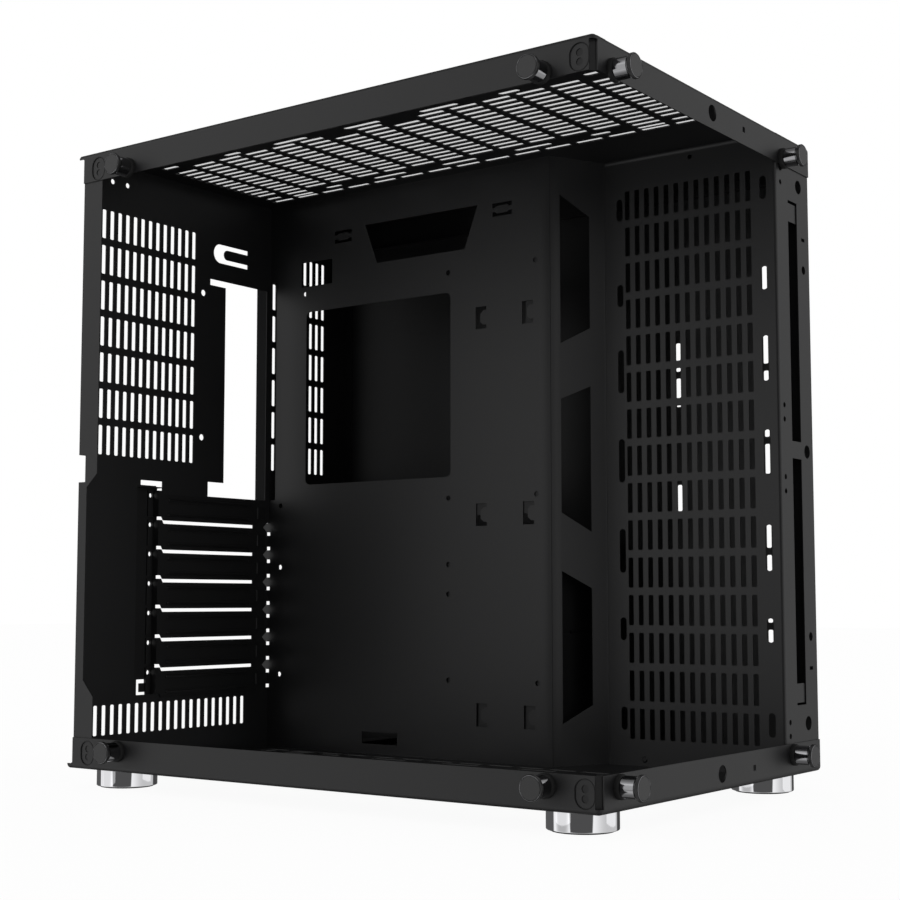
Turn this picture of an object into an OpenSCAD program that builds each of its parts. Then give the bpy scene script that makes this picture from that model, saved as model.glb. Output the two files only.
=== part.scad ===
// Dual chamber computer case in folded black sheet steel. The glass of the left
// and front sides is taken off and its standoff screws are left in place.
// The origin is at the centre of the outer box, on the floor. The front is at -Y.

/* [Body] */
// Width from the left rails to the right panel
body_w = 273.2; // [262:0.2:320]
// Depth of the top and bottom panels
body_d = 402.6; // [392:0.2:470]
// Height over the top and bottom panels
body_h = 406.6; // [402:0.2:480]
// Thickness of every folded sheet
sheet = 0.8; // [0.8:0.1:1.6]
// Height of the rails folded from the top and bottom panels
rail_h = 20; // [16:0.5:26]
// Slit between the left and the front rail at their corner
corner_slit = 3.4; // [1:0.1:6]
// How far the top and bottom panels reach past the rear panel
rear_overhang = 5.2; // [2:0.1:10]
// Width of the rear panel's folded side flanges
side_flange = 16.6; // [14:0.2:24]
// Height of the top panel's inner rail at the right
right_rail_h = 22; // [12:0.5:26]

/* [Chambers] */
// Height of the power supply, which sets the width of the right chamber
psu_h = 86; // [80:0.5:95]
// Width of the power supply
psu_w = 150; // [130:1:160]
// Free space beside the power supply
psu_fit = 1; // [0:0.1:2]
// Distance from the rear panel to the front fold of the motherboard tray
tray_d = 250.8; // [246:0.2:254]
// Distance from the right panel's outer face to the fan wall
fan_bay = 49.6; // [40:0.2:54]
// Distance from the front panel line to the rear fold of the fan wall
fan_wall_d = 126.3; // [118:0.1:128]

/* [Slots] */
// Width of a vent slot in the upright walls
slot_w = 3.6; // [2:0.1:4.4]
// Width of a vent slot in the top and bottom panels
panel_slot_w = 4.6; // [2:0.1:5]
// Length of a vent slot
slot_l = 19.8; // [12:0.1:21]
// Cut corner of a vent slot
slot_corner = 0.6; // [0.2:0.1:1]
// Distance between slot rows along the slots
row_pitch = 24.5; // [23:0.1:30]
// Distance between slot columns across the slots
column_pitch = 7.3; // [6.4:0.05:9]
// Slot columns in one fan field
field_columns = 13; // [5:2:13]

/* [Fans] */
// Size of a fan
fan = 120; // [110:1:124]
// Distance between a fan's screw holes
fan_hole = 105; // [100:0.5:107]
// Width of a fan screw slot
fan_slot_w = 4.6; // [3.5:0.1:5]
// Length of a short fan screw slot
fan_slot_short = 15; // [8:0.5:16]
// Length of a long fan screw slot
fan_slot_long = 29; // [18:0.5:32]

/* [Motherboard] */
// Distance from the rear panel to the rear column of board holes
board_in = 11.8; // [10:0.1:14]
// Height of the lowest row of board holes over the bottom panel
board_up = 54.3; // [50:0.1:58]
// Diameter of a board hole
board_hole_d = 3.6; // [2.5:0.1:4.5]
// Width of the opening for the board's sockets
io_w = 44.45; // [40:0.05:46]
// Height of the opening for the board's sockets
io_h = 158.75; // [150:0.25:160]
// Distance between expansion slots
slot_pitch = 20.32; // [20.2:0.02:20.6]
// Width of an expansion slot cover
cover_w = 18; // [16:0.1:19]
// Thickness of an expansion slot cover
cover_t = 1; // [0.6:0.1:1.4]

/* [Studs and feet] */
// Diameter of a thumb screw's head
stud_head_d = 14; // [10:0.5:18]
// Thickness of a thumb screw's head
stud_head_t = 2.5; // [2.4:0.1:6]
// Diameter of the bright sleeve under the head
stud_sleeve_d = 12; // [7:0.1:12.6]
// Length of the sleeve that shows between washer and head
stud_sleeve_l = 9; // [4:0.1:12]
// Diameter of the rubber washer on the rail
stud_washer_d = 13.2; // [12:0.1:16]
// Thickness of the rubber washer
stud_washer_t = 3; // [2:0.1:5]
// Height of the studs over the bottom panel and under the top panel
stud_edge = 13.2; // [11.4:0.1:14]
// Diameter of a foot
foot_d = 39; // [32:0.5:44]
// Height of a foot under the bottom panel
foot_h = 12; // [10:0.5:30]
// Distance from the panel's edges to the centre of a foot
foot_in = 27.5; // [24:0.5:34]

/* [Front ports] */
// Width of the port plate in the top panel
port_w = 24; // [22:0.5:27]
// Length of the port plate
port_l = 122; // [118:1:140]
// Diameter of the power button
power_d = 14; // [8:0.5:16]
// Diameter of the reset button
reset_d = 6; // [4:0.5:8]
// Travel of the buttons
button_travel = 1.5; // [0.5:0.1:2]
// Gap between a button and its hole
button_fit = 0.3; // [0.2:0.05:0.4]

/* [Drives] */
// Length of a large drive
drive_l = 147; // [140:1:150]
// Width of a large drive
drive_w = 101.6; // [95:0.2:103]
// Thickness of one drive bay
drive_pitch = 27.4; // [26:0.2:28]

/* [Hidden] */
$fn = 48;

// The studs stand out at the left and the front, so the body sits off centre
stud_out = stud_washer_t + stud_sleeve_l + stud_head_t;
left_x = (stud_out - body_w) / 2;
right_x = left_x + body_w;
front_y = (stud_out - body_d) / 2;
back_y = front_y + body_d;
base_z = foot_h;
top_z = base_z + body_h;
floor_z = base_z + sheet;
ceiling_z = top_z - sheet;
mid_z = (base_z + top_z) / 2;
inner_left = left_x + sheet;
inner_right = right_x - sheet;
rear_out = back_y - rear_overhang;
rear_in = rear_out - sheet;
pillar_y = front_y + sheet;
tray_x = inner_right - psu_h - psu_fit - sheet;
tray_front = rear_in - tray_d;
fan_x = right_x - fan_bay;
fan_rear = front_y + fan_wall_d;

// Standard distances between the board's holes, from the rear and from below
hole_depths = [0, 154.94, 227.33];
hole_heights = [0, 124.46, 281.94];
short_board_row = 78.74;
extra_row = 58.42;
top_hole_in = 22.86;
board_y = rear_in - board_in;
board_z = base_z + board_up;
cover_z = board_z - 3.3;
covers = 7;
io_relief = 4.3;
io_x = tray_x - io_relief - io_w;
io_z = cover_z + (covers - 1) * slot_pitch + 9.9;
cover_tail = tray_x - 2;
cover_left = tray_x - 112.5;
top_cover_z = cover_z + (covers - 1) * slot_pitch;
window_left = cover_left - 20;
window_right = tray_x - 17;
window_top = top_cover_z + 13.2;
window_bottom = cover_z - 9;
cover_window_top = top_cover_z + 8.2;
shelf_y = back_y - sheet;
shelf_hole_d = 3.6;
shelf_hole_x = cover_left - 3.2;
foot_shift = 2.5;
foot_hole_up = 8.2;

rear_field_x = left_x + 60.6;
rear_field_z = base_z + 289.3;
rear_field_rows = 7;
rear_fan_z = base_z + 277.5;
rear_column_pitch = 7.05;
low_row_z = base_z + 29.3;
low_row_slots = 20;

stud_y = [front_y + 33.2, back_y - 47.8];
stud_x = [left_x + 18.9, right_x - 40.3];
stud_z = [base_z + stud_edge, top_z - stud_edge - 3];
stud_bore = 5;
stud_neck = stud_bore + 1.6;
boss_w = 12;
boss_h = 15.4;
boss_depth = sheet / 2;
boss_hole_d = 4.2;
boss_hole_gap = 5.1;
boss_z = [base_z + 10.6, top_z - 11.9];

wall_columns_y = front_y + 64.4;
field_rows = floor((body_h - 2 * rail_h + row_pitch - slot_l) / row_pitch);
top_field_x = tray_x - 75.2;
top_field_y = front_y + 202.8;
band_pitch = row_pitch - 0.3;
bands = floor((body_d - 40 + band_pitch - slot_l) / band_pitch);
outer_row = fan_hole / 2 + 8.9;

drive_y = tray_front + 4;
psu_z = floor_z + 4;
port_x = right_x - 24.6;
port_y = front_y + 72;
port_t = 1.6;
port_lip = 1.2;
housing_h = 13;
power_y = port_y - port_l / 2 + 15;
reset_y = port_y - port_l / 2 + 32;
button_flange = 1.6;
button_proud = 0.9;
usb_y = [port_y + 2, port_y + 22];
usb_size = [6.8, 14.4];
usb_c_y = port_y - 15;
usb_c_size = [3.4, 9.2];
audio_y = [port_y + 38, port_y + 50];
audio_d = 6;
audio_bore = 3.5;
board_z_top = top_z - port_t - port_lip - 7.4;

steel = [0.11, 0.11, 0.12];
dark_steel = [0.08, 0.08, 0.09];
chrome = [0.8, 0.8, 0.82];
rubber = [0.05, 0.05, 0.05];
plastic = [0.07, 0.07, 0.08];

// Evenly spaced places around zero
function spread(count, pitch) = [for (i = [0:count - 1]) (i - (count - 1) / 2) * pitch];

// Corners of one vent slot, w by l around [x, y]
function slot_at(x, y, w = slot_w, l = slot_l) =
    let (a = w / 2, b = l / 2, c = slot_corner)
    [[x - a, y - b + c], [x - a + c, y - b], [x + a - c, y - b], [x + a, y - b + c],
     [x + a, y + b - c], [x + a - c, y + b], [x - a + c, y + b], [x - a, y + b - c]];

// Distance from the field's centre and length of each fan screw slot, which
// fit three fans in a row or two
function fan_slots() = [
    [0, fan_slot_long],
    for (s = [-1, 1]) each [
        [s * fan / 2, fan_slot_long],
        [s * (fan / 2 + fan_hole / 2 - 1), fan_slot_short],
        [s * (fan + fan_hole / 2 - 2.5), fan_slot_short]
    ]
];

// A flat outline with punched slots, each given as its eight corners
module punched(outline, slots) {
    count = len(outline);
    polygon(
        points = concat(outline, [for (s = slots) each s]),
        paths = concat(
            [[for (i = [0:count - 1]) i]],
            [for (k = [0:len(slots) - 1]) [for (i = [0:7]) count + 8 * k + i]]
        )
    );
}

// A round ended slot, l long over its ends along the second axis
module obround(w, l) {
    square([w, l - w], center = true);
    for (s = [-1, 1]) translate([0, s * (l - w) / 2]) circle(d = w);
}

// A rectangle with round corners of radius r
module round_rect(w, h, r) {
    square([w - 2 * r, h], center = true);
    square([w, h - 2 * r], center = true);
    for (a = [-1, 1], b = [-1, 1]) translate([a * (w / 2 - r), b * (h / 2 - r)]) circle(r = r);
}

function box(x0, y0, x1, y1) = [[x0, y0], [x1, y0], [x1, y1], [x0, y1]];

// Flat shapes stood up as a wall across X, across Y, or laid flat
module wall_x(x, t) {
    translate([x, 0, 0]) rotate([90, 0, 90]) linear_extrude(t) children();
}
module wall_y(y, t) {
    translate([0, y + t, 0]) rotate([90, 0, 0]) linear_extrude(t) children();
}
module slab(z, t) {
    translate([0, 0, z]) linear_extrude(t) children();
}

// Slots of the top and bottom fields: bands of cross slots, one more row on each
// outer side, and two spare slots beside the tray near the ends
function panel_slots() = [
    for (band = spread(bands, 1))
        let (y = top_field_y + band * band_pitch)
        each concat(
            [for (c = spread(field_columns, column_pitch))
                if (c > -42 || abs(band) != 1 && abs(band) < 7)
                    slot_at(top_field_x - 2 + c, y, panel_slot_w)],
            [for (side = [-1, 1]) slot_at(top_field_x + side * outer_row, y, panel_slot_w)],
            [for (c = [1, 2])
                if (abs(band) == 6)
                    slot_at(top_field_x - 2 + ((field_columns - 1) / 2 + c) * column_pitch, y,
                        panel_slot_w)]
        )
];

module fan_cuts() {
    for (side = [-1, 1], s = fan_slots())
        if (abs(s[0]) + s[1] / 2 < body_d / 2 - 20)
            translate([top_field_x + side * fan_hole / 2, top_field_y + 1 + s[0]])
                obround(fan_slot_w, s[1]);
}

// The rail cut-outs: a shallow oblong boss with two holes, seen from outside
module rail_boss_x(y, z) {
    wall_x(left_x - 1, 1 + boss_depth) translate([y, z]) obround(boss_w, boss_h);
    for (s = [-1, 1])
        translate([left_x - 1, y, z + s * boss_hole_gap / 2])
            rotate([0, 90, 0]) cylinder(d = boss_hole_d, h = sheet + 2);
}

// Left and front rails of a panel, for the lower or the upper edge
module rails(z0, level) {
    end_y = rear_out;
    tip = rear_overhang - 0.6;
    upper = level == 1;
    outer = upper ? z0 + rail_h : z0;
    inner = upper ? z0 : z0 + rail_h;
    step = upper ? -1 : 1;
    difference() {
        wall_x(left_x, sheet) polygon([
            [front_y + corner_slit, outer], [end_y + tip, outer],
            [end_y + tip, outer + step * 1.6], [end_y, outer + step * 4], [end_y, inner],
            [front_y + corner_slit, inner]
        ]);
        for (y = [front_y + 9.4, back_y - 19.4]) rail_boss_x(y, boss_z[level]);
        for (y = stud_y) translate([left_x - 1, y, stud_z[level]])
            rotate([0, 90, 0]) cylinder(d = stud_bore, h = sheet + 2);
    }
    difference() {
        wall_y(front_y, sheet) polygon(box(left_x + corner_slit, z0, right_x, z0 + rail_h));
        for (x = stud_x) translate([x, front_y + sheet + 1, stud_z[level]])
            rotate([90, 0, 0]) cylinder(d = stud_bore, h = sheet + 2);
        translate([front_hole_x, front_y + sheet + 1, boss_z[level] + 1.4 - 2.2 * (1 - level)])
            rotate([90, 0, 0]) cylinder(d = front_hole_d, h = sheet + 2);
        translate([front_hole_x + 42, front_y - 1, boss_z[level] + 1.4 - 2.2 * (1 - level)])
            translate([-1.7, 0, -1.7]) cube([3.4, sheet + 2, 3.4]);
    }
}
front_hole_x = left_x + 135.4;
front_hole_d = 10;

module top_panel() {
    color(steel) {
        slab(ceiling_z, sheet) difference() {
            punched(box(left_x, front_y, right_x, back_y), panel_slots());
            fan_cuts();
            translate([port_x, port_y]) round_rect(port_w + 0.4, port_l + 0.4, 3);
        }
        rails(top_z - rail_h, 1);
        right_rail();
    }
}

// Rail folded down inside the right panel, with a narrow lip turned inwards
module right_rail() {
    low = top_z - right_rail_h;
    lip = 5;
    y0 = pillar_y + sheet;
    y1 = rear_in - side_flange / 2 - 0.4;
    translate([0, y1, 0]) rotate([90, 0, 0]) linear_extrude(y1 - y0) polygon([
        [inner_right - sheet, top_z - sheet / 2], [inner_right, top_z - sheet / 2],
        [inner_right, low], [inner_right - lip, low], [inner_right - lip, low + sheet],
        [inner_right - sheet, low + sheet]
    ]);
}

module bottom_panel() {
    color(steel) {
        slab(base_z, sheet) difference() {
            punched(box(left_x, front_y, right_x, back_y), panel_slots());
            fan_cuts();
            foot_places() circle(d = foot_bore);
        }
        rails(base_z, 0);
    }
}
foot_bore = 5.4;

module foot_places() {
    for (x = [left_x + foot_in, right_x - foot_in], y = [front_y + foot_in, back_y - foot_in])
        translate([x, y]) children();
}

filter_t = 1.2;
filter_band = 9;
filter_box = [
    top_field_x - outer_row - 8 - filter_band, front_y + 8,
    top_field_x + outer_row + 8 + filter_band, back_y - 10
];

// Magnetic frame of the dust filter that lies over the top field
module top_filter_frame() {
    f = filter_box;
    b = filter_band;
    color(rubber) slab(top_z, filter_t) difference() {
        polygon(box(f[0], f[1], f[2], f[3]));
        polygon(box(f[0] + b, f[1] + b, f[2] - b, f[3] - b));
    }
}

module top_filter_mesh() {
    f = filter_box;
    b = filter_band;
    color([0.15, 0.15, 0.15]) slab(top_z + 0.3, 0.4)
        polygon(box(f[0] + b, f[1] + b, f[2] - b, f[3] - b));
}

// Rear panel
right_field_in = 4;
rear_columns = floor((inner_right - 20 - tray_x) / rear_column_pitch);
notch_z = [base_z + 186, base_z + 204];
// Small through holes beside the cover tails, at the foot of the tray
tail_dots = [for (k = [0:covers - 2], s = [-1, 1]) cover_z + k * slot_pitch + s * 5.4];
dot_w = 4;
dot_h = 2.6;
// Height of the pointed gaps between the cover tails
gap_h = 6.8;
psu_mid_x = tray_x + sheet + (psu_h + psu_fit) / 2;
psu_mid_z = psu_z + psu_w / 2;
psu_window = box(psu_mid_x - psu_h / 2 + 11, psu_mid_z - psu_w / 2 + 13,
    psu_mid_x + psu_h / 2 - 5, psu_mid_z + psu_w / 2 - 13);
// Screw places on the supply's rear face, from its middle
psu_holes = [
    [psu_h / 2 - 6, psu_w / 2 - 6], [psu_h / 2 - 6, 6 - psu_w / 2],
    [16 - psu_h / 2, 6 - psu_w / 2], [6 - psu_h / 2, psu_w / 2 - 30]
];

function rear_rows() = spread(rear_field_rows, row_pitch);

function rear_slots() = concat(
    [for (c = spread(field_columns, rear_column_pitch), r = rear_rows())
        slot_at(rear_field_x + c, rear_field_z + r)],
    [for (c = [0:rear_columns - 1], r = rear_rows())
        slot_at(tray_x + right_field_in + c * rear_column_pitch, rear_field_z + r)],
    [for (c = [0:low_row_slots - 1])
        slot_at(rear_field_x - 42.3 + c * (column_pitch + 0.05), low_row_z)]
);

// Padlock slot: a round ended cut around a tongue
module padlock_cut() {
    r = 7;
    difference() {
        union() {
            circle(r = r);
            translate([0, -r]) square([29, 2 * r]);
        }
        union() {
            translate([7.5, 0]) circle(r = 3.6);
            translate([7.5, -3.6]) square([23, 7.2]);
        }
    }
}

module io_cut() {
    translate([io_x, io_z]) square([io_w, io_h]);
    translate([io_x - 16, io_z]) square([16.2, 10.6]);
    translate([io_x - 16, io_z + io_h - 4.6]) square([16.2, 4.6]);
}

module rear_panel() {
    color(steel) {
        difference() {
            wall_y(rear_in, sheet) difference() {
                punched(box(inner_left, floor_z, inner_right, ceiling_z), rear_slots());
                io_cut();
                translate([tray_x - 54.5, base_z + 361.6]) padlock_cut();
                for (a = [-1, 1], b = [-1, 1])
                    translate([rear_field_x + a * fan_hole / 2, rear_fan_z + b * fan_hole / 2])
                        circle(d = 4.6);
                for (k = [0:covers - 2]) translate([0, cover_z + (k + 0.5) * slot_pitch]) polygon([
                    [tray_x - 6, 0], [tray_x - 2, gap_h / 2], [tray_x, gap_h / 2],
                    [tray_x, -gap_h / 2], [tray_x - 2, -gap_h / 2]
                ]);
                polygon([
                    [window_left, window_bottom + foot_shift],
                    [cover_left + 2.5, window_bottom + foot_shift],
                    [cover_left + 4, window_bottom], [window_right, window_bottom],
                    [window_right, cover_window_top], [cover_left + 0.5, cover_window_top],
                    [cover_left + 0.5, window_top], [window_left, window_top]
                ]);
                translate([cover_left - 17, window_top + 1.4]) square([20.4, 3.4]);
                translate([cover_left - 2.6, window_top - 1.9]) square([6, 3.8]);
                for (z = tail_dots) translate([tray_x + 0.6, z])
                    square([dot_w, dot_h], center = true);
                for (x = [25.1, 38.6]) translate([left_x + x, base_z + 393.3]) circle(d = 3.6);
                polygon(psu_window);
                for (h = psu_holes) translate([psu_mid_x + h[0], psu_mid_z + h[1]]) circle(d = 4.2);
            }
            translate([left_x - 1, rear_in - 1, notch_z[0]])
                cube([7.2, sheet + 2, notch_z[1] - notch_z[0]]);
        }
        left_flange();
        wall_x(inner_right - sheet, sheet)
            polygon(box(rear_in - side_flange / 2, psu_z + psu_w + 4, rear_in, ceiling_z));
        io_lip();
        tail_tabs();
    }
}

// Flange folded forward at the left, cut narrow beside the slot covers
module left_flange() {
    wide = rear_in - side_flange;
    narrow = rear_in - 7;
    wall_x(inner_left, sheet) polygon([
        [rear_in, floor_z], [rear_in, notch_z[0]], [rear_in - 5.8, notch_z[0]],
        [rear_in - 5.8, notch_z[1]], [rear_in, notch_z[1]], [rear_in, ceiling_z],
        [wide, ceiling_z], [wide, base_z + 191], [narrow, base_z + 182.5],
        [narrow, base_z + 57], [wide, base_z + 46.5], [wide, floor_z]
    ]);
}

// Lip turned out at a slant along the right edge of the socket opening
module io_lip() {
    lip = 1.3 * sheet;
    slant = 4.4;
    past_top = 2;
    translate([io_x + io_w, 0, io_z]) linear_extrude(io_h + past_top) polygon([
        [0, rear_out - sheet / 2], [lip, rear_out - sheet / 2],
        [lip - slant, back_y], [-slant, back_y]
    ]);
}

// Small tabs turned out behind the pointed gaps between the cover tails
module tail_tabs() {
    root = tray_x + 0.4;
    for (k = [0:covers - 2])
        translate([root, rear_out - sheet / 2, cover_z + (k + 0.5) * slot_pitch - gap_h / 2])
            cube([sheet, rear_overhang + sheet / 2, gap_h]);
}

// Cuts in the motherboard tray, as places on the wall across X
// The slots leave a tongue with a narrow neck for a cable tie
module tie_slot_up() {
    polygon([
        [4.6, -7.7], [4.6, 7.7], [-4.3, 7.7], [-4.3, 5], [-1.8, 5], [0.8, 2.8],
        [0.8, -2.8], [-1.8, -5], [-4.3, -5], [-4.3, -7.7]
    ]);
}
module tie_slot_flat() {
    for (s = [-1, 1]) scale([1, s]) polygon([
        [-8, 1.5], [-8, 4.6], [8, 4.6], [8, 1.5], [5.6, 1.5], [4.4, 2.6], [-4.4, 2.6], [-5.6, 1.5]
    ]);
}

board_middle = board_y - hole_depths[1];
board_front = board_y - hole_depths[2];
tray_holes = concat(
    [for (row = [0, 1], d = hole_depths) [board_y - d, board_z + hole_heights[row]]],
    [for (d = [top_hole_in, hole_depths[1], hole_depths[2]])
        [board_y - d, board_z + hole_heights[2]]],
    [for (d = [0, hole_depths[1]]) [board_y - d, board_z + short_board_row]],
    [[board_middle, board_z + extra_row]]
);
cpu_cut = [board_middle + 64.4, board_z + 203.5, 132.6, 128.8];
tie_places = [
    for (h = [board_z - 22.5, board_z + 112.2, board_z + 247.3], y = [6.2, -28])
        [board_front + (y > 0 ? 6.2 : 44.4), h]
];

module motherboard_tray() {
    notch_d = 6.2;
    dot_notch = 2.2;
    color(steel) wall_x(tray_x, sheet) difference() {
        polygon([
            [tray_front, floor_z], [rear_in, floor_z], [rear_in, io_z + 0.4],
            [rear_in - notch_d, io_z + 0.4], [rear_in - notch_d, io_z + io_h + 6.6],
            [rear_in, io_z + io_h + 6.6], [rear_in, ceiling_z], [tray_front, ceiling_z]
        ]);
        translate([cpu_cut[0], cpu_cut[1]]) round_rect(cpu_cut[2], cpu_cut[3], 4);
        translate([board_middle + 25, board_z + 311.6]) polygon([
            [-50, 14.7], [-39, -14.7], [38.6, -14.7], [49.8, 14.7]
        ]);
        translate([board_middle + 120.9, board_z + 296.4]) square([30, 18.4], center = true);
        for (z = tail_dots) translate([rear_in - dot_notch, z - dot_h / 2])
            square([dot_notch + 1, dot_h]);
        for (h = tray_holes) translate(h) circle(d = board_hole_d);
        for (p = tie_places) translate(p) tie_slot_up();
        for (y = [-45.5, 95.6]) translate([board_middle + y, board_z + 320.8]) tie_slot_flat();
        translate([board_middle + 60, floor_z + 11.2]) square([31.5, 8.4], center = true);
    }
}

// Slanted wall between the tray and the fan wall, with three openings
step_run = [fan_x - tray_x, fan_rear - tray_front];
step_l = norm(step_run);
step_angle = atan2(step_run[1], step_run[0]);
step_openings = [
    [base_z + 279.2, base_z + 291, base_z + 367.4, base_z + 380.2],
    [base_z + 166.2, base_z + 154, base_z + 251.6, base_z + 241.9],
    [base_z + 28.1, base_z + 39.8, base_z + 116.5, base_z + 127.8]
];
step_margin = [7.8, 12.6];

// A place on the slanted wall: a along it, v through its thickness
function turned(a, v) = [
    a * cos(step_angle) - v * sin(step_angle), a * sin(step_angle) + v * cos(step_angle)
];

module step_panel() {
    color(steel) translate([tray_x, tray_front, 0]) difference() {
        slab(floor_z, ceiling_z - floor_z) polygon([
            [0, 0], turned(step_l, 0), turned(step_l, sheet),
            turned(sheet * cos(step_angle), sheet), [sheet, 0]
        ]);
        rotate([0, 0, step_angle]) wall_y(-1, sheet + 2) for (o = step_openings) polygon([
            [step_margin[0], o[0]], [step_l - step_margin[1], o[1]],
            [step_l - step_margin[1], o[2]], [step_margin[0], o[3]]
        ]);
    }
}

module fan_wall() {
    field = [for (c = spread(field_columns, column_pitch + 0.09),
                  r = spread(field_rows, row_pitch + 0.2))
        slot_at(wall_columns_y + c, mid_z - 2.4 + r)];
    color(steel) wall_x(fan_x, sheet) difference() {
        punched(box(pillar_y + sheet, floor_z, fan_rear, ceiling_z), field);
        for (side = [-1, 1], s = fan_slots())
            translate([wall_columns_y - 2.2 + side * fan_hole / 2, mid_z - 2 + s[0]])
                obround(fan_slot_w, s[1]);
        for (y = [61.3, 9.2]) translate([front_y + y, ceiling_z - 6]) circle(d = 3);
    }
}

// Front pillar between the rails, with two light slots and the trim's holes
pillar_slot_x = right_x - 31.6;
pillar_slot_w = 13.6;
pillar_slots = [[base_z + 43, base_z + 198.5], [base_z + 209.5, base_z + 365.5]];
trim_hole_d = 9;

module front_pillar() {
    color(steel) {
        wall_y(pillar_y, sheet) difference() {
            polygon(box(fan_x, floor_z, inner_right, ceiling_z));
            for (s = pillar_slots) polygon(box(
                pillar_slot_x, s[0], pillar_slot_x + pillar_slot_w, s[1]));
            for (z = [31, 377]) translate([right_x - 15.1, base_z + z]) circle(d = trim_hole_d);
            translate([right_x - 9.1, base_z + 204]) circle(d = trim_hole_d - 0.4);
            for (z = [24.5, 33, 177, 186, 222.5, 231.5, 375, 384])
                translate([fan_x + 7.2, base_z + z]) circle(d = 3.4);
            for (z = stud_z) translate([stud_x[1], z]) circle(d = stud_bore);
            for (z = [65.5, 343]) translate([right_x - 9, base_z + z])
                square([5, 2.2], center = true);
            for (z = [85.5, 323]) translate([right_x - 9, base_z + z]) circle(d = 5.6);
        }
        for (z = [base_z + 44.4, base_z + 352])
            translate([pillar_slot_x - 2, pillar_y + sheet, z])
                cube([pillar_slot_w + 4, sheet, 12]);
    }
}

// Dark channel behind the pillar's long slots, where a light strip sits
channel_d = 10;
channel_wall = 1.2;
channel_w = pillar_slot_w + 8;

module light_channel() {
    x0 = pillar_slot_x + (pillar_slot_w - channel_w) / 2;
    x1 = x0 + channel_w;
    y0 = pillar_y + sheet;
    y1 = y0 + channel_d;
    t = channel_wall;
    low = pillar_slots[0][0] - 6;
    color(plastic) slab(low, pillar_slots[1][1] + 6 - low) polygon([
        [x0, y0], [x0 + t, y0], [x0 + t, y1 - t], [x1 - t, y1 - t], [x1 - t, y0], [x1, y0],
        [x1, y1], [x0, y1]
    ]);
}

// Right steel panel with a vent near the front edge and two ears over the rear
vent_columns = [24.3, 32.3];
ear_w = 13;
ear_h = 24;
vent_rows = floor((body_h - 120) / row_pitch);

module right_panel() {
    vent = concat(
        [for (c = vent_columns, r = spread(vent_rows, row_pitch))
            slot_at(front_y + c, mid_z - 1.4 + r)],
        [for (r = spread(vent_rows, row_pitch)) if (abs(r - 60) < 20 || abs(r + 25) < 5)
            slot_at(front_y + 97.6, mid_z - 1.4 + r)]
    );
    color(steel) {
        wall_x(inner_right, sheet)
            punched(box(pillar_y, floor_z, rear_out + sheet, ceiling_z), vent);
        wall_y(rear_out, sheet) difference() {
            for (z = panel_screw_z)
                polygon(box(inner_right - ear_w, z - ear_h / 2, inner_right, z + ear_h / 2));
            for (z = panel_screw_z) translate([inner_right - ear_w / 2, z]) circle(d = 3.4);
        }
    }
}
panel_screw_z = [base_z + 178, top_z - 24];

module panel_screws() {
    head_t = rear_overhang - sheet - 0.2;
    color(dark_steel) for (z = panel_screw_z)
        translate([inner_right - ear_w / 2, rear_out + sheet, z]) rotate([-90, 0, 0]) {
            cylinder(d = 9.6, h = head_t);
            translate([0, 0, -sheet]) cylinder(d = 3.3, h = sheet);
        }
}

// Shallow recess, sunk outwards, whose floor takes the screws of the slot covers
module slot_shelf() {
    left = window_left - sheet;
    right = cover_left + 3.4;
    low = window_bottom - sheet;
    high = window_top + 0.9;
    color(dark_steel) {
        wall_y(shelf_y, sheet) difference() {
            polygon(box(left, low, right, high));
            for (k = [0:covers - 1])
                translate([shelf_hole_x, cover_z + k * slot_pitch + foot_hole_up])
                    circle(d = shelf_hole_d);
            translate([cover_left - 13.3, window_bottom + 1.4]) {
                square([2.6, 11.2]);
                square([8.3, 2.6]);
                translate([0, 8.6]) square([7.6, 2.6]);
            }
        }
        wall_y(rear_out, shelf_y - rear_out) difference() {
            polygon(box(left, low, right, high));
            polygon(box(window_left, window_bottom, right + 1, high - sheet));
        }
    }
}

// One expansion slot cover: a plate with ribs, a tapered tail and a screw foot
module slot_cover(k) {
    half = cover_w / 2;
    tail = 4.6;
    foot_l = 5.8;
    rib = 0.5;
    y = rear_in - cover_t;
    foot_y = shelf_y - cover_t;
    color(dark_steel) translate([0, 0, cover_z + k * slot_pitch]) {
        wall_y(y, cover_t) polygon([
            [cover_left, -half + foot_shift], [cover_left + 2.5, -half + foot_shift],
            [cover_left + 4, -half], [window_right + 2, -half], [window_right + 7, -tail],
            [cover_tail - 3, -tail], [cover_tail - 3, tail], [window_right + 7, tail],
            [window_right + 2, half], [cover_left + 4, half],
            [cover_left + 2.5, half + foot_shift], [cover_left, half + foot_shift]
        ]);
        for (s = [-1, 1]) translate([cover_left + 9, y - rib, s * 4.6 - 0.8])
            cube([window_right - cover_left - 12, rib, 1.6]);
        translate([cover_left - cover_t, y, foot_shift - half])
            cube([cover_t, shelf_y - y, cover_w]);
        difference() {
            translate([cover_left - foot_l, foot_y, foot_shift - half])
                cube([foot_l - cover_t, cover_t, cover_w]);
            translate([shelf_hole_x, shelf_y + 1, foot_hole_up])
                rotate([90, 0, 0]) cylinder(d = shelf_hole_d, h = cover_t + 2);
        }
    }
}

// Studs that carry the glass: a washer round a neck, a sleeve and a head, along +Z
module stud_places() {
    for (y = stud_y, z = stud_z) translate([left_x, y, z]) rotate([0, -90, 0]) children();
    for (x = stud_x, z = stud_z) translate([x, front_y, z]) rotate([90, 0, 0]) children();
}

module stud_washers() {
    color(rubber) stud_places() rotate_extrude() polygon([
        [stud_neck / 2, 0], [stud_washer_d / 2, 0], [stud_washer_d / 2, stud_washer_t - 1],
        [stud_washer_d / 2 - 1, stud_washer_t], [stud_neck / 2, stud_washer_t]
    ]);
}

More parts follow.
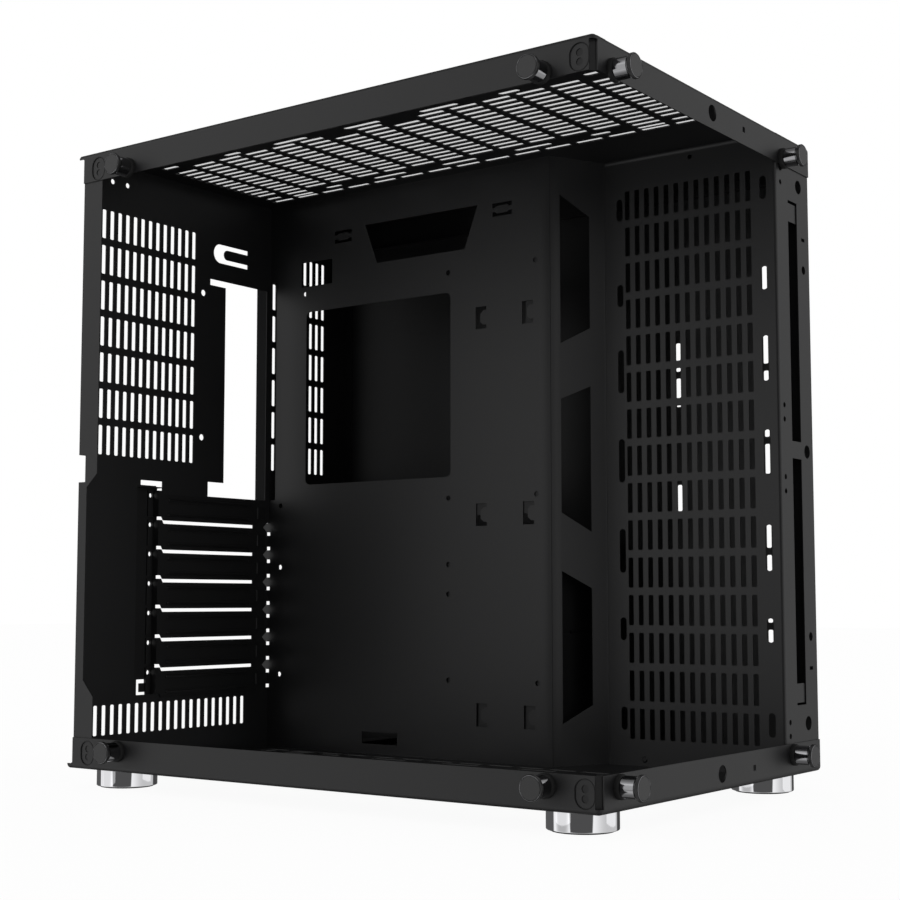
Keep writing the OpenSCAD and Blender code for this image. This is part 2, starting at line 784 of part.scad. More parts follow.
module stud_sleeves() {
    thread = stud_bore - 0.4;
    color(chrome) stud_places() {
        translate([0, 0, stud_washer_t]) cylinder(d = stud_sleeve_d, h = stud_sleeve_l);
        cylinder(d = stud_neck, h = stud_washer_t);
        translate([0, 0, -sheet - 2]) cylinder(d = thread, h = sheet + 2);
    }
}

module stud_heads() {
    top = stud_washer_t + stud_sleeve_l;
    r = stud_head_d / 2;
    color(dark_steel) stud_places() translate([0, 0, top]) rotate_extrude() polygon([
        [0, 0], [r - 0.5, 0], [r, 0.5], [r, stud_head_t - 0.6], [r - 0.6, stud_head_t],
        [0, stud_head_t]
    ]);
}

// Feet: a bright shell with a rubber pad and a screw up into the bottom panel
pad_t = 3.2;
pad_drop = 0.8;
foot_wall = 2.4;
foot_screw_d = 5;

module foot(i) {
    r = foot_d / 2;
    x = i % 2 == 0 ? left_x + foot_in : right_x - foot_in;
    y = i < 2 ? front_y + foot_in : back_y - foot_in;
    color(chrome) translate([x, y, 0]) rotate_extrude() polygon([
        [foot_screw_d / 2 + 0.2, pad_t], [r - foot_wall, pad_t], [r - foot_wall, pad_drop],
        [r - 1.2, pad_drop], [r, pad_drop + 1.2], [r, foot_h - 0.5], [r - 0.5, foot_h],
        [foot_screw_d / 2 + 0.2, foot_h]
    ]);
}

module foot_pads() {
    color(rubber) foot_places() cylinder(r = foot_d / 2 - foot_wall - 0.1, h = pad_t);
}

module foot_screws() {
    color(chrome) foot_places() {
        translate([0, 0, pad_t]) cylinder(d = foot_screw_d, h = floor_z - pad_t);
        translate([0, 0, floor_z]) cylinder(d = 9.4, h = 2.6);
    }
}

// Angle pieces that tie the front ends of the rails together
module corner_blocks() {
    leg = 12;
    t = 1.6;
    color(dark_steel) for (level = [0, 1]) {
        z = level == 0 ? floor_z : top_z - rail_h;
        h = rail_h - sheet;
        translate([0, 0, z]) linear_extrude(h) polygon([
            [inner_left, pillar_y + corner_slit], [inner_left, pillar_y + leg],
            [inner_left + t, pillar_y + leg], [inner_left + t, pillar_y + corner_slit + t / 2],
            [inner_left + corner_slit + t / 2, pillar_y + t], [inner_left + leg, pillar_y + t],
            [inner_left + leg, pillar_y], [inner_left + corner_slit, pillar_y]
        ]);
    }
}

// Frame on the rear panel around the power supply's opening
module psu_frame() {
    edge = 0.6;
    tray_edge = 4;
    color(steel) wall_y(rear_out, sheet) difference() {
        polygon(box(tray_x + tray_edge, floor_z, inner_right - edge, psu_mid_z + psu_w / 2 + 4));
        polygon(psu_window);
        for (h = psu_holes) translate([psu_mid_x + h[0], psu_mid_z + h[1]]) circle(d = 4.2);
    }
}

// Two cushioned rests that the power supply stands on
module psu_rests() {
    color(rubber) for (y = [rear_in - 62, rear_in - 128])
        translate([tray_x + sheet + 8, y, floor_z]) cube([psu_h - 16, 16, psu_z - floor_z]);
}

// Cage for three large drives stood on edge, ahead of the power supply
cage_wall = 1;
cage_w = 3 * drive_pitch + 2 * cage_wall;
cage_x = tray_x + sheet + 0.6;
cage_h = drive_l + 3;

module drive_cage() {
    d = drive_w + 5;
    w = cage_w - 1.8;
    slit_z = base_z + 87 - floor_z;
    color(dark_steel) translate([cage_x, drive_y - 2, floor_z]) {
        for (x = [0, w - cage_wall]) translate([x, 0, 0]) difference() {
            cube([cage_wall, d, cage_h]);
            for (z = [0.3, 0.7], y = [0.3, 0.7]) translate([-1, d * y, cage_h * z])
                rotate([0, 90, 0]) cylinder(d = 16, h = cage_wall + 2);
        }
        translate([cage_wall, 0, 0]) cube([w - 2 * cage_wall, d, cage_wall]);
        translate([cage_wall, 0, cage_wall]) difference() {
            cube([w - 2 * cage_wall, cage_wall, cage_h - cage_wall]);
            translate([3, -1, slit_z - 1.6]) cube([w - 8, cage_wall + 2, 2.2]);
        }
    }
}

// One drive tray: a floor with two side rails and a grip at the top
module drive_sled(i) {
    t = 1.6;
    w = drive_pitch - 2.6;
    h = cage_h - cage_wall - 0.4;
    d = drive_w + 1.4;
    x = cage_x + cage_wall + 0.6 + i * (drive_pitch - 0.6);
    color(plastic) translate([x, drive_y - 0.4, floor_z + cage_wall]) difference() {
        cube([w, d, h]);
        translate([t, t, t]) cube([w, d - 2 * t, h - 2 * t]);
        translate([-1, 20, 20]) cube([t + 2, d - 40, h - 40]);
        translate([w / 2 - 1, d / 2 - 16, h - t - 1]) cube([w / 2 + 2, 32, t + 2]);
    }
}

// Bracket for a small drive on the back of the tray
module card_drive_bracket(i) {
    z = i == 0 ? board_z + 112 : board_z + 204;
    w = 76;
    h = 84;
    color(plastic) translate([tray_x + sheet, tray_front + 6, z]) difference() {
        cube([10, w, h]);
        translate([2, 2, -1]) cube([9, w - 4, h - 2]);
        translate([-1, 14, 14]) cube([4, w - 28, h - 28]);
    }
}

// Port plate, flush in the top panel, with its housing, board and sockets
module port_cuts(fit = 0) {
    translate([port_x, power_y]) circle(d = power_d + 2 * button_fit);
    translate([port_x, reset_y]) circle(d = reset_d + 2 * button_fit);
    for (y = usb_y) translate([port_x, y]) square([usb_size[0] + fit, usb_size[1] + fit], center = true);
    translate([port_x, usb_c_y]) round_rect(usb_c_size[0] + fit, usb_c_size[1] + fit, 1.6);
    for (y = audio_y) translate([port_x, y]) circle(d = audio_d + fit);
}

module port_plate() {
    color(plastic) {
        slab(top_z - port_t, port_t) difference() {
            translate([port_x, port_y]) round_rect(port_w, port_l, 2.8);
            port_cuts(0);
        }
        slab(top_z - port_t - port_lip, port_lip) difference() {
            translate([port_x, port_y]) square([port_w - 1, port_l - 1], center = true);
            translate([port_x, port_y]) square([port_w - 4, port_l - 4], center = true);
        }
    }
}

module port_housing() {
    z = top_z - port_t - port_lip - housing_h;
    t = 1.4;
    ear_t = 2;
    ear_l = 8.8;
    ear_gap = 0.3;
    color(plastic) {
        slab(z, housing_h) difference() {
            translate([port_x, port_y]) square([port_w - 1, port_l - 1], center = true);
            translate([port_x, port_y]) square([port_w - 1 - 2 * t, port_l - 1 - 2 * t], center = true);
        }
        slab(z - t, t) translate([port_x, port_y]) square([port_w - 1, port_l - 1], center = true);
        for (s = [-1, 1]) translate([port_x, port_y, 0]) scale([1, s, 1]) difference() {
            union() {
                slab(z + housing_h - ear_t, ear_t) translate([1 - port_w / 2 + 0.5, port_l / 2 - 1])
                    square([port_w - 3, ear_l + 1]);
                slab(z + housing_h - 1, ceiling_z - z - housing_h + 1)
                    translate([1.5 - port_w / 2, port_l / 2 + ear_gap])
                        square([port_w - 3, ear_l - ear_gap]);
            }
            translate([0, port_l / 2 + ear_l / 2, z]) cylinder(d = 3, h = housing_h + 6);
        }
    }
}

module port_board() {
    z = board_z_top - 1.6;
    low = top_z - port_t - port_lip - housing_h;
    color([0.05, 0.2, 0.1]) {
        slab(z, 1.6) translate([port_x, port_y]) square([port_w - 4.4, port_l - 4.4], center = true);
        slab(low, z - low) for (s = [-1, 1])
            translate([port_x, port_y + s * (port_l / 2 - 8)]) square([8, 4], center = true);
        slab(board_z_top, switch_h) for (y = [power_y, reset_y])
            translate([port_x, y]) square([5, 5], center = true);
    }
}
plunger_gap = button_travel + 0.3;
flange_z = top_z - port_t - 0.3;
switch_h = flange_z - button_flange - 1 - plunger_gap - board_z_top;

// A socket with a tongue, standing on the port board and ending flush
module usb_socket(i) {
    w = usb_size[0];
    l = usb_size[1];
    h = top_z - board_z_top - 0.2;
    translate([port_x, usb_y[i], board_z_top]) {
        color(chrome) slab(0, h) difference() {
            square([w - 0.2, l - 0.2], center = true);
            square([w - 1.2, l - 1.2], center = true);
        }
        color([0.1, 0.2, 0.6]) {
            slab(0, 1) square([w - 1.2, l - 1.2], center = true);
            translate([1, 0, 0]) slab(1, h - 2.2) square([1.6, l - 3], center = true);
        }
    }
}

module usb_c_socket() {
    h = top_z - board_z_top - 0.2;
    translate([port_x, usb_c_y, board_z_top]) {
        color(chrome) slab(0, h) difference() {
            round_rect(usb_c_size[0] - 0.2, usb_c_size[1] - 0.2, 1.5);
            round_rect(usb_c_size[0] - 0.9, usb_c_size[1] - 0.9, 1.2);
        }
        color(plastic) slab(0, 1) round_rect(usb_c_size[0] - 0.9, usb_c_size[1] - 0.9, 1.2);
        color(plastic) slab(1, h - 1.8) square([0.7, 6.4], center = true);
    }
}

module audio_sockets() {
    h = top_z - board_z_top - 0.2;
    color(rubber) for (y = audio_y) translate([port_x, y, board_z_top]) difference() {
        cylinder(d = audio_d - 0.2, h = h);
        translate([0, 0, 1]) cylinder(d = audio_bore, h = h);
    }
}

// A push button: a cap through the plate, a flange under it and a plunger
module push_button(y, d) {
    flange_d = min(d + 3, port_w - 5);
    color(plastic) translate([port_x, y, 0]) {
        translate([0, 0, flange_z]) cylinder(d = d, h = top_z + button_proud - flange_z);
        translate([0, 0, flange_z - button_flange]) cylinder(d = flange_d, h = button_flange);
        translate([0, 0, flange_z - button_flange - 1]) cylinder(d = 2.6, h = 1);
    }
}

// Rivets that hold the rear panel's flanges, the pillar and the tray
module rivets() {
    head = 5;
    color(dark_steel) {
        for (z = [base_z + 34, base_z + 120, base_z + 214, base_z + 300, base_z + 372])
            translate([inner_left + sheet, rear_in - 4.4, z]) rotate([0, 90, 0])
                cylinder(d1 = head, d2 = head - 2, h = 1);
        for (z = [base_z + 10, top_z - 10], x = [fan_x + 4.6, right_x - 22])
            translate([x, pillar_y + sheet + 1, z]) rotate([90, 0, 0])
                cylinder(d1 = head - 2, d2 = head, h = 1);
        for (y = [front_y + 30, front_y + 100], z = [floor_z + 4.5])
            translate([fan_x, y, z]) rotate([0, -90, 0])
                cylinder(d1 = head - 0.6, d2 = head - 2, h = 0.9);
    }
}

top_panel();
top_filter_frame();
top_filter_mesh();
bottom_panel();
rear_panel();
motherboard_tray();
step_panel();
fan_wall();
front_pillar();
light_channel();
right_panel();
slot_shelf();
slot_cover(0);  // slot_cover_1
slot_cover(1);  // slot_cover_2
slot_cover(2);  // slot_cover_3
slot_cover(3);  // slot_cover_4
slot_cover(4);  // slot_cover_5
slot_cover(5);  // slot_cover_6
slot_cover(6);  // slot_cover_7
stud_washers();
stud_sleeves();
stud_heads();
foot(0);  // foot_1
foot(1);  // foot_2
foot(2);  // foot_3
foot(3);  // foot_4
foot_pads();
foot_screws();
corner_blocks();
panel_screws();
psu_frame();
psu_rests();
drive_cage();
drive_sled(0);  // drive_sled_1
drive_sled(1);  // drive_sled_2
drive_sled(2);  // drive_sled_3
card_drive_bracket(0);  // card_drive_bracket_1
card_drive_bracket(1);  // card_drive_bracket_2
port_plate();
port_housing();
port_board();
usb_socket(0);  // usb_socket_1
usb_socket(1);  // usb_socket_2
usb_c_socket();
audio_sockets();
push_button(power_y, power_d);  // power_button
push_button(reset_y, reset_d);  // reset_button
rivets();
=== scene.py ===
"""Dual chamber computer case in black powder coated sheet steel, glass taken off."""

import math

import bmesh
import bpy
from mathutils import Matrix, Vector


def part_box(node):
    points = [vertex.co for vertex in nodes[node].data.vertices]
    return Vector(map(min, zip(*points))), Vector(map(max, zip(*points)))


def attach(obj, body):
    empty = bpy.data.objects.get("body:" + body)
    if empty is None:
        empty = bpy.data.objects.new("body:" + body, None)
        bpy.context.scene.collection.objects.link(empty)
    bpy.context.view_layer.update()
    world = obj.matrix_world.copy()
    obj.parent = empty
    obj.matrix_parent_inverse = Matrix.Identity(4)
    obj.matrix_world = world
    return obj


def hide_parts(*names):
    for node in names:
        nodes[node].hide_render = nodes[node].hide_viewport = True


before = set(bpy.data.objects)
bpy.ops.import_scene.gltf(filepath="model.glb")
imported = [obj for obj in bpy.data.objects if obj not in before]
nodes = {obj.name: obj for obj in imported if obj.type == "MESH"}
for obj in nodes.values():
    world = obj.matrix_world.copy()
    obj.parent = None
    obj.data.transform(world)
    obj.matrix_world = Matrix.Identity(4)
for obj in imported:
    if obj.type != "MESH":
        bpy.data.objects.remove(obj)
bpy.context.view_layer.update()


# Top and bottom panels: each is one sheet of steel, punched flat and then folded at
# the left and the front into rails with a real bend radius. All the sheet work gets
# the same fine matt black powder coat.
class Wire:
    """A value between shader nodes that can be used in sums."""

    def __init__(self, coat, socket):
        self.coat = coat
        self.socket = socket

    def math(self, operation, first, second):
        return self.coat.node(
            "ShaderNodeMath", {"operation": operation}, {0: first, 1: second}
        )

    def __add__(self, other):
        return self.math("ADD", self, other)

    def __sub__(self, other):
        return self.math("SUBTRACT", self, other)

    def __mul__(self, other):
        return self.math("MULTIPLY", self, other)

    def __rsub__(self, other):
        return self.math("SUBTRACT", other, self)

    def __gt__(self, other):
        return self.math("GREATER_THAN", self, other)

    __radd__ = __add__
    __rmul__ = __mul__


class Coat:
    """A finish: one Principled shader and whatever feeds it."""

    def __init__(self, name, **sockets):
        self.material = bpy.data.materials.new(name)
        self.material.use_nodes = True
        self.tree = self.material.node_tree
        self.tree.nodes.clear()
        self.output = self.tree.nodes.new("ShaderNodeOutputMaterial")
        self.shader = self.tree.nodes.new("ShaderNodeBsdfPrincipled")
        self.tree.links.new(self.shader.outputs[0], self.output.inputs[0])
        self.feed(self.shader, {k.replace("_", " "): v for k, v in sockets.items()})

    def feed(self, node, sockets):
        for key, value in sockets.items():
            if isinstance(value, Wire):
                self.tree.links.new(value.socket, node.inputs[key])
            else:
                node.inputs[key].default_value = value

    def node(self, kind, settings=None, sockets=None, output=0):
        node = self.tree.nodes.new(kind)
        for key, value in (settings or {}).items():
            setattr(node, key, value)
        self.feed(node, sockets or {})
        return Wire(self, node.outputs[output])

    def place(self):
        return self.node("ShaderNodeTexCoord", output="Object")

    def axis(self, name):
        return self.node("ShaderNodeSeparateXYZ", {}, {0: self.place()}, output=name)

    def noise(self, scale, detail=2.0):
        return self.node(
            "ShaderNodeTexNoise",
            {},
            {"Vector": self.place(), "Scale": scale, "Detail": detail},
        )

    def blend(self, amount, first, second):
        return self.node(
            "ShaderNodeMix",
            {"data_type": "RGBA"},
            {"Factor": amount, 6: first, 7: second},
            output=2,
        )

    def bump(self, height, depth, strength=1.0):
        return self.node(
            "ShaderNodeBump",
            {},
            {"Height": height, "Distance": depth, "Strength": strength},
        )

    def set(self, **sockets):
        self.feed(self.shader, {k.replace("_", " "): v for k, v in sockets.items()})
        return self

    def on(self, *names):
        for name in names:
            for slot in nodes[name].material_slots:
                slot.material = self.material


def powder_coat(name, dark, pale, rough, gloss=0.5):
    """Baked powder: a fine orange peel, with a faint change of tone and gloss."""
    coat = Coat(name, Specular_IOR_Level=gloss)
    cloud = coat.noise(9.0, 3.0)
    grain = coat.noise(1400.0, 1.0)
    peel = coat.noise(420.0, 2.0)
    return coat.set(
        Base_Color=coat.blend(cloud * 0.7 + grain * 0.3, dark, pale),
        Roughness=rough - 0.05 + cloud * 0.06 + grain * 0.04,
        Normal=coat.bump(peel * 0.7 + grain * 0.3, 0.00004, 0.35),
    )


class Fold:
    """A bend line: two flat legs leave a sharp corner, which gets an outer radius."""

    def __init__(self, corner, leg_a, leg_b, radius):
        self.corner = Vector(corner)
        self.legs = (Vector(leg_a).normalized(), Vector(leg_b).normalized())
        self.radius = radius
        half = self.legs[0].angle(self.legs[1]) / 2
        middle = sum(self.legs, Vector()).normalized()
        self.centre = self.corner + middle * (radius / math.sin(half))
        self.starts = [self.corner + leg * (radius / math.tan(half)) for leg in self.legs]
        self.cut = (self.starts[0], -middle)


class Piece:
    """The mesh of one piece, put together from shapes and then set on its body."""

    def __init__(self):
        self.bm = bmesh.new()

    def face(self, corners):
        try:
            return self.bm.faces.new(corners)
        except ValueError:
            return None

    def take(self, node, *folds):
        """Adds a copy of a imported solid, cut back to where its bends start."""
        copy = bmesh.new()
        copy.from_mesh(nodes[node].data)
        bmesh.ops.remove_doubles(copy, verts=copy.verts, dist=1e-6)
        for fold in folds:
            point, outward = fold.cut
            cut = bmesh.ops.bisect_plane(
                copy,
                geom=copy.verts[:] + copy.edges[:] + copy.faces[:],
                plane_co=point,
                plane_no=outward,
                clear_outer=True,
            )
            rim = [e for e in cut["geom_cut"] if isinstance(e, bmesh.types.BMEdge)]
            bmesh.ops.holes_fill(copy, edges=rim, sides=0)
        mesh = bpy.data.meshes.new("trimmed")
        copy.to_mesh(mesh)
        self.bm.from_mesh(mesh)
        bpy.data.meshes.remove(mesh)
        copy.free()
        return self

    def bend(self, fold, run, thick, steps=8):
        """Rolls a fold along its run. A minus thickness lies outside the bend."""
        spokes = [(start - fold.centre).normalized() for start in fold.starts]
        rings = []
        for i in range(steps + 1):
            spoke = spokes[0].slerp(spokes[1], i / steps)
            outer = fold.centre + spoke * fold.radius
            inner = fold.centre + spoke * (fold.radius - thick)
            corners = (outer, inner, inner + run, outer + run)
            rings.append([self.bm.verts.new(c) for c in corners])
        self.loft(rings)
        return self

    def loft(self, rings, closed=False):
        """Skins rings of corners, and caps both ends unless the rings join up."""
        pairs = list(zip(rings, rings[1:]))
        if closed:
            pairs.append((rings[-1], rings[0]))
        for low, high in pairs:
            for i in range(len(low)):
                j = (i + 1) % len(low)
                self.face((low[i], low[j], high[j], high[i]))
        if not closed:
            self.face(rings[0][::-1])
            self.face(rings[-1])
        return self

    def bead(self, path, up, radius, closed=True, steps=8):
        """A round bead along a flat path, for pressed rims and ribs."""
        up = Vector(up).normalized()
        path = [Vector(p) for p in path]
        last = len(path) - 1
        rings = []
        for i, point in enumerate(path):
            after = path[(i + 1) % len(path)] if closed else path[min(i + 1, last)]
            before = path[i - 1] if closed else path[max(i - 1, 0)]
            side = up.cross(after - before).normalized()
            turns = [2 * math.pi * k / steps for k in range(steps)]
            rings.append(
                [
                    self.bm.verts.new(
                        point + (side * math.cos(t) + up * math.sin(t)) * radius
                    )
                    for t in turns
                ]
            )
        return self.loft(rings, closed)

    def turn(self, profile, base, axis, steps=48, flutes=0, depth=0.0):
        """Spins (radius, height, flute share) points round an axis from a base."""
        base, axis = Vector(base), Vector(axis).normalized()
        across = axis.orthogonal().normalized()
        other = axis.cross(across)
        rings = []
        for point in profile:
            radius, height = point[0], point[1]
            share = point[2] if len(point) > 2 else 0.0
            ring = []
            for k in range(steps):
                t = 2 * math.pi * k / steps
                r = radius - depth * share * (0.5 - 0.5 * math.cos(flutes * t))
                spoke = across * math.cos(t) + other * math.sin(t)
                ring.append(self.bm.verts.new(base + axis * height + spoke * r))
            rings.append(ring)
        return self.loft(rings)

    def set_on(self, name, coat, slot, *replaced, body="case"):
        """Turns the mesh into an object on a body, smooth but for its sharp edges."""
        bmesh.ops.recalc_face_normals(self.bm, faces=self.bm.faces)
        for face in self.bm.faces:
            face.smooth = True
        for edge in self.bm.edges:
            if len(edge.link_faces) != 2 or edge.calc_face_angle(0.0) > math.radians(32):
                edge.smooth = False
        mesh = bpy.data.meshes.new(name)
        self.bm.to_mesh(mesh)
        self.bm.free()
        mesh.materials.append(coat.material)
        piece = bpy.data.objects.new(name, mesh)
        bpy.context.scene.collection.objects.link(piece)
        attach(piece, body)
        if replaced:
            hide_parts(*replaced)
        return piece


mm = 0.001
sheet = 0.8 * mm
top_low, top_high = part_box("top_panel")
bottom_low, bottom_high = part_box("bottom_panel")
left, right = top_low.x, top_high.x
front, back = top_low.y, top_high.y
sheet_coat = powder_coat(
    "black powder coat", (0.006, 0.006, 0.0065, 1), (0.011, 0.011, 0.0118, 1), 0.46, 0.48
)
rail_radius = 3.2 * mm
rear_edge = 0.6 * mm
for name, level, up in (("top_panel", top_high.z, -1), ("bottom_panel", bottom_low.z, 1)):
    corner = (left, front, level)
    side_fold = Fold(corner, (1, 0, 0), (0, 0, up), rail_radius)
    front_fold = Fold(corner, (0, 1, 0), (0, 0, up), rail_radius)
    panel = Piece().take(name, side_fold, front_fold)
    for fold, run in (
        (side_fold, Vector((0, back - front - rail_radius - rear_edge, 0))),
        (front_fold, Vector((right - left - rail_radius, 0, 0))),
    ):
        fold.centre += run.normalized() * rail_radius
        fold.starts = [s + run.normalized() * rail_radius for s in fold.starts]
        panel.bend(fold, run, sheet)
    # The ball corner where the two folds meet, as an outer and an inner skin.
    knuckle = Vector((left + rail_radius, front + rail_radius, level + up * rail_radius))
    rings = []
    steps = 6
    for shell in (rail_radius, rail_radius - sheet):
        for i in range(steps + 1):
            tilt = math.pi / 2 * i / steps
            rings.append([])
            for k in range(steps + 1):
                swing = math.pi / 2 * k / steps
                spoke = Vector(
                    (
                        -math.cos(tilt) * math.cos(swing),
                        -math.cos(tilt) * math.sin(swing),
                        -up * math.sin(tilt),
                    )
                )
                rings[-1].append(panel.bm.verts.new(knuckle + spoke * shell))
    for shell in (0, steps + 1):
        for i in range(steps):
            for k in range(steps):
                low, high = rings[shell + i], rings[shell + i + 1]
                panel.face((low[k], low[k + 1], high[k + 1], high[k]))
    bmesh.ops.remove_doubles(panel.bm, verts=panel.bm.verts, dist=1e-7)
    panel.set_on(name + "_sheet", sheet_coat, "steel", name)

# Pressed rims round the oblong bosses near the ends of the left rails, where the
# rails are fixed to the corner pieces. Their darker coat is painted shade for the shadow round
# each pressing.
# Painted shade: these colours are half the tone of the sheet coat, so the rims read as the
# shadow at the foot of the pressing.
pressing_shade_coat = powder_coat(
    "painted shade coat in the pressings", (0.003, 0.003, 0.0032, 1), (0.006, 0.006, 0.0064, 1), 0.5, 0.3
)
boss_w, boss_h = 12.0 * mm, 15.4 * mm
boss_levels = (bottom_low.z + 10.6 * mm, top_high.z - 11.9 * mm)
boss_places = (front + 9.4 * mm, back - 19.4 * mm)
rim_out, rim_radius, rim_steps = 0.1 * mm, 0.3 * mm, 32
rims = Piece()
for z in boss_levels:
    for y in boss_places:
        r = boss_w / 2
        reach = boss_h / 2 - r
        path = []
        for k in range(rim_steps):
            t = 2 * math.pi * (k + 0.5) / rim_steps
            end_z = z + math.copysign(reach, math.sin(t))
            path.append((left + rim_out, y + r * math.cos(t), end_z + r * math.sin(t)))
        rims.bead(path, (1, 0, 0), rim_radius)
rims.set_on("rail_boss_rims", pressing_shade_coat, "dark_steel")

# Motherboard tray, slanted step, side fan wall and front pillar: one run of sheet
# between the two chambers, with three upright bends.
floor_z, ceiling_z = bottom_low.z + sheet, top_high.z - sheet
tray_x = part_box("motherboard_tray")[0].x
tray_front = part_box("motherboard_tray")[0].y
fan_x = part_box("fan_wall")[0].x
fan_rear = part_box("fan_wall")[1].y
pillar_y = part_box("front_pillar")[0].y
step_radius, pillar_radius = 1.6 * mm, 1.8 * mm
along = Vector((fan_x - tray_x, fan_rear - tray_front, 0)).normalized()
tray_fold = Fold((tray_x, tray_front, floor_z), (0, 1, 0), along, step_radius)
step_fold = Fold((fan_x, fan_rear, floor_z), -along, (0, -1, 0), step_radius)
pillar_fold = Fold((fan_x, pillar_y, floor_z), (0, 1, 0), (1, 0, 0), pillar_radius)
upright = Vector((0, 0, ceiling_z - floor_z))
wall = Piece()
wall.take("motherboard_tray", tray_fold)
wall.take("step_panel", tray_fold, step_fold)
wall.take("fan_wall", step_fold, pillar_fold)
wall.take("front_pillar", pillar_fold)
wall.bend(tray_fold, upright, sheet)
wall.bend(step_fold, upright, -sheet)
wall.bend(pillar_fold, upright, sheet)
wall.set_on(
    "chamber_wall", sheet_coat, "steel", "motherboard_tray", "step_panel", "fan_wall",
    "front_pillar",
)

# Flange at the top of the fan wall, folded over under the top panel and spot welded
# to it. Its bend shows as a pale line along the ceiling.
flange_radius, flange_thick = 2.6 * mm, 0.4 * mm
flange_corner = (fan_x, pillar_y + 2 * sheet, ceiling_z)
flange_fold = Fold(flange_corner, (0, 0, -1), (-1, 0, 0), flange_radius)
flange_run = Vector((0, fan_rear - pillar_y - 3 * sheet, 0))
flange = Piece().bend(flange_fold, flange_run, -flange_thick)
flange.set_on("fan_wall_flange", sheet_coat, "steel")

# Rear panel, right panel and power supply frame: flat sheets, folded at their own
# edges and riveted to the panels.
sheet_coat.on("rear_panel", "right_panel", "psu_frame")

# Expansion slot covers and the sunk recess that takes their screws. Each cover is
# stamped from thinner steel with two stiffening ribs and a joggle at its tail.
cover_coat = powder_coat(
    "slot cover coat", (0.004, 0.004, 0.0043, 1), (0.007, 0.007, 0.0075, 1), 0.5, 0.42
)
cover_coat.on("slot_shelf")
rib_r, rib_apart = 1.1 * mm, 5.2 * mm
rib_in, tail_l, rib_gap = 14.5 * mm, 15.0 * mm, 4.0 * mm
joggle_on, joggle_half, joggle_r = 6.2 * mm, 4.0 * mm, 0.9 * mm
foot_shift, face_in, joggle_in = 2.5 * mm, 0.5 * mm, 0.2 * mm
rib_end = [(rib_r * math.cos(a), rib_r * math.sin(a)) for a in (0.0, 0.5, 1.0, 1.5)]
for number in range(1, 8):
    node = "slot_cover_%d" % number
    low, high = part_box(node)
    cover = Piece().take(node)
    mid = (low.z + high.z - foot_shift) / 2
    face_y = low.y + face_in
    rib_start, rib_stop = low.x + rib_in, high.x - tail_l - rib_gap
    for side in (-1, 1):
        z = mid + side * rib_apart
        path = [(rib_start, face_y, z), (rib_stop, face_y, z)]
        cover.bead(path, (0, -1, 0), rib_r, closed=False)
        for x in (rib_start, rib_stop):
            cover.turn(rib_end, (x, face_y, z), (0, -1, 0), 16)
    joggle_x, joggle_y = high.x - tail_l + joggle_on, face_y - joggle_in
    joggle = [(joggle_x, joggle_y, mid + side * joggle_half) for side in (-1, 1)]
    cover.bead(joggle, (0, -1, 0), joggle_r, closed=False)
    cover.set_on("cover_%d" % number, cover_coat, "dark_steel", node)


# Studs that carry the glass: a soft washer on the rail, a bright turned sleeve and a
# black head with a fine knurled rim and a cut edge.
def islands(node):
    """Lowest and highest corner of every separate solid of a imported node."""
    bm = bmesh.new()
    bm.from_mesh(nodes[node].data)
    bmesh.ops.remove_doubles(bm, verts=bm.verts, dist=1e-6)
    left_over = set(bm.verts)
    found = []
    while left_over:
        queue = [left_over.pop()]
        group = []
        while queue:
            vert = queue.pop()
            group.append(vert.co.copy())
            for edge in vert.link_edges:
                other = edge.other_vert(vert)
                if other in left_over:
                    left_over.remove(other)
                    queue.append(other)
        found.append(
            (
                Vector([min(p[i] for p in group) for i in range(3)]),
                Vector([max(p[i] for p in group) for i in range(3)]),
            )
        )
    bm.free()
    return found


rubber_coat = Coat("black rubber", Specular_IOR_Level=0.35)
rubber_grain = rubber_coat.noise(900.0, 2.0)
rubber_coat.set(
    Base_Color=rubber_coat.blend(
        rubber_grain, (0.006, 0.006, 0.006, 1), (0.012, 0.012, 0.012, 1)
    ),
    Roughness=0.62 + rubber_grain * 0.12,
    Normal=rubber_coat.bump(rubber_grain, 0.00003, 0.5),
)
bright_coat = Coat(
    "turned bright metal", Base_Color=(0.34, 0.34, 0.35, 1), Metallic=1.0
)
lathe_marks = bright_coat.noise(2600.0, 1.0)
bright_coat.set(
    Roughness=0.08 + lathe_marks * 0.06,
    Normal=bright_coat.bump(lathe_marks, 0.000004, 0.3),
)
edge_coat = Coat(
    "cut edge of the anodised head", Base_Color=(0.3, 0.3, 0.31, 1), Metallic=1.0
)
edge_marks = edge_coat.noise(1800.0, 1.0)
edge_coat.set(
    Roughness=0.22 + edge_marks * 0.08, Normal=edge_coat.bump(edge_marks, 0.000004, 0.3)
)
head_coat = powder_coat(
    "black anodised head", (0.010, 0.010, 0.0105, 1), (0.016, 0.016, 0.0165, 1), 0.42, 0.6
)
washer_top, sleeve_top, head_top = 3.0 * mm, 12.0 * mm, 14.5 * mm
head_r, sleeve_r, neck_r, washer_r = 7.0 * mm, 6.0 * mm, 3.3 * mm, 6.6 * mm
thread_r, thread_l = 2.3 * mm, 2.8 * mm
knurl_sides, knurls, knurl_depth = 288, 72, 0.16 * mm
heads, chamfers, sleeves, washers = Piece(), Piece(), Piece(), Piece()
